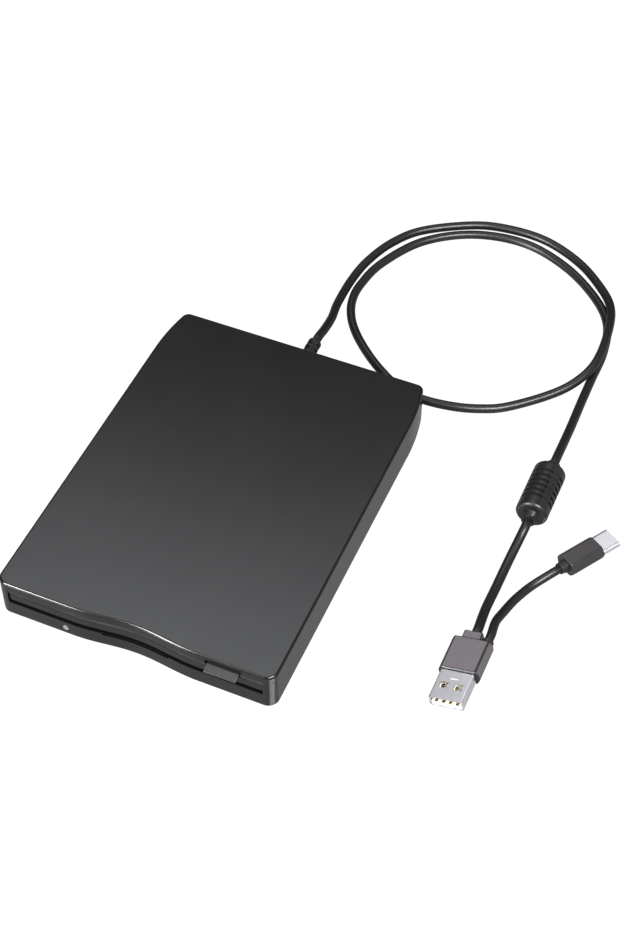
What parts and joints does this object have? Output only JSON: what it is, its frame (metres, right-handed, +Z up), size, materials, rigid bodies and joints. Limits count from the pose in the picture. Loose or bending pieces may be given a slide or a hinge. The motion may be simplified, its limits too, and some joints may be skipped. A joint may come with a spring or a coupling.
{
  "type": "external floppy disk drive",
  "caption": "Slim black external floppy disk drive with dust flap, eject button, captive cord with ferrite sleeve, USB-A plug and a short branch to a USB-C plug.",
  "frame": {"origin": "on the surface it rests on, under the middle of the drive's length and width without its cord", "axes": "+Z up, the disk slot faces -Y, the cord leaves at +Y"},
  "size_m": [0.189, 0.259, 0.017],
  "materials": {
    "black_case": "satin",
    "black_plastic": "matte",
    "grey_plastic": "matte",
    "white_plastic": "satin",
    "lamp_plastic": "clear",
    "rubber": "matte",
    "cord_jacket": "satin",
    "sheet_steel": "satin",
    "bright_steel": "polished",
    "nickel": "plated",
    "plug_metal": "satin",
    "circuit_board": "satin",
    "ceramic": "satin",
    "ribbon": "satin"
  },
  "bodies": {
    "base": {"top_cover": "black_case", "bottom_cover": "black_plastic", "lamp_lens": "lamp_plastic", "rubber_foot_front_left": "rubber", "rubber_foot_front_right": "rubber", "rubber_foot_rear_left": "rubber", "rubber_foot_rear_right": "rubber", "frame_screw_front_left": "bright_steel", "frame_screw_front_right": "bright_steel", "frame_screw_rear_left": "bright_steel", "frame_screw_rear_right": "bright_steel", "case_screw_left": "bright_steel", "case_screw_right": "bright_steel", "slider_spring_left": "bright_steel", "slider_spring_right": "bright_steel", "drive_frame": "sheet_steel", "guide_rod": "bright_steel", "motor_board": "circuit_board", "stepper_motor": "sheet_steel", "lever_spring": "bright_steel", "usb_board": "circuit_board", "cord_connector": "white_plastic", "inner_leads": "cord_jacket", "flat_cable": "ribbon", "sensor_switch_left": "black_plastic", "sensor_switch_right": "black_plastic", "strain_relief": "black_plastic", "ferrite_sleeve": "black_plastic", "usb_a_housing": "plug_metal", "usb_a_shell": "nickel", "usb_a_tongue": "white_plastic", "usb_c_housing": "plug_metal", "usb_c_shell": "nickel", "usb_c_tongue": "black_plastic", "main_cord": "cord_jacket", "tail_cord": "cord_jacket", "branch_cord": "cord_jacket"},
    "flap": {"dust_flap": "black_plastic", "flap_spring": "bright_steel"},
    "slider": {"eject_button": "black_plastic", "slider_plate": "sheet_steel"},
    "carrier": {"disk_carrier": "sheet_steel"},
    "carriage": {"head_carriage": "black_plastic", "lower_head": "ceramic"},
    "upper_arm": {"upper_head_arm": "grey_plastic", "upper_head": "ceramic"},
    "screw": {"lead_screw": "bright_steel"},
    "spindle": {"spindle_rotor": "bright_steel"},
    "lever": {"latch_lever": "white_plastic"}
  },
  "joints": [
    {"name": "flap_fold", "type": "hinge", "parent": "base", "child": "flap", "pos_m": [0, -0.0674, 0.0052], "axis": [-1, 0, 0], "range_deg": [0, 100], "stiffness_Nm_per_rad": 0.0005, "springref_deg": -34.38},
    {"name": "eject_slide", "type": "slide", "parent": "base", "child": "slider", "axis": [0, -1, 0], "range_m": [0, 0.0032]},
    {"name": "carrier_drop", "type": "slide", "parent": "base", "child": "carrier", "axis": [0, 0, -1], "range_m": [0, 0.0022]},
    {"name": "head_slide", "type": "slide", "parent": "base", "child": "carriage", "axis": [0, -1, 0], "range_m": [0, 0.0158]},
    {"name": "head_arm_lift", "type": "hinge", "parent": "carriage", "child": "upper_arm", "pos_m": [0, 0.0513, 0.0132], "axis": [1, 0, 0], "range_deg": [0, 9]},
    {"name": "lead_screw_turn", "type": "hinge", "parent": "base", "child": "screw", "pos_m": [-0.022, 0.0293, 0.0092], "axis": [0, 1, 0], "range_deg": [-1, 1897]},
    {"name": "spindle_turn", "type": "hinge", "parent": "base", "child": "spindle", "pos_m": [0, -0.0177, 0.0041], "axis": [0, 0, 1], "continuous": true},
    {"name": "latch_swing", "type": "hinge", "parent": "base", "child": "lever", "pos_m": [0.018, 0.0408, 0.0076], "axis": [0, 0, 1], "range_deg": [0, 41], "stiffness_Nm_per_rad": 0.0002, "springref_deg": -17.19}
  ],
  "couplings": [
    {"joint": "carrier_drop", "follows": "eject_slide", "ratio": 0.6875},
    {"joint": "head_arm_lift", "follows": "eject_slide", "rad_per_m": 49.087},
    {"joint": "lead_screw_turn", "follows": "head_slide", "rad_per_m": 2094.4}
  ]
}
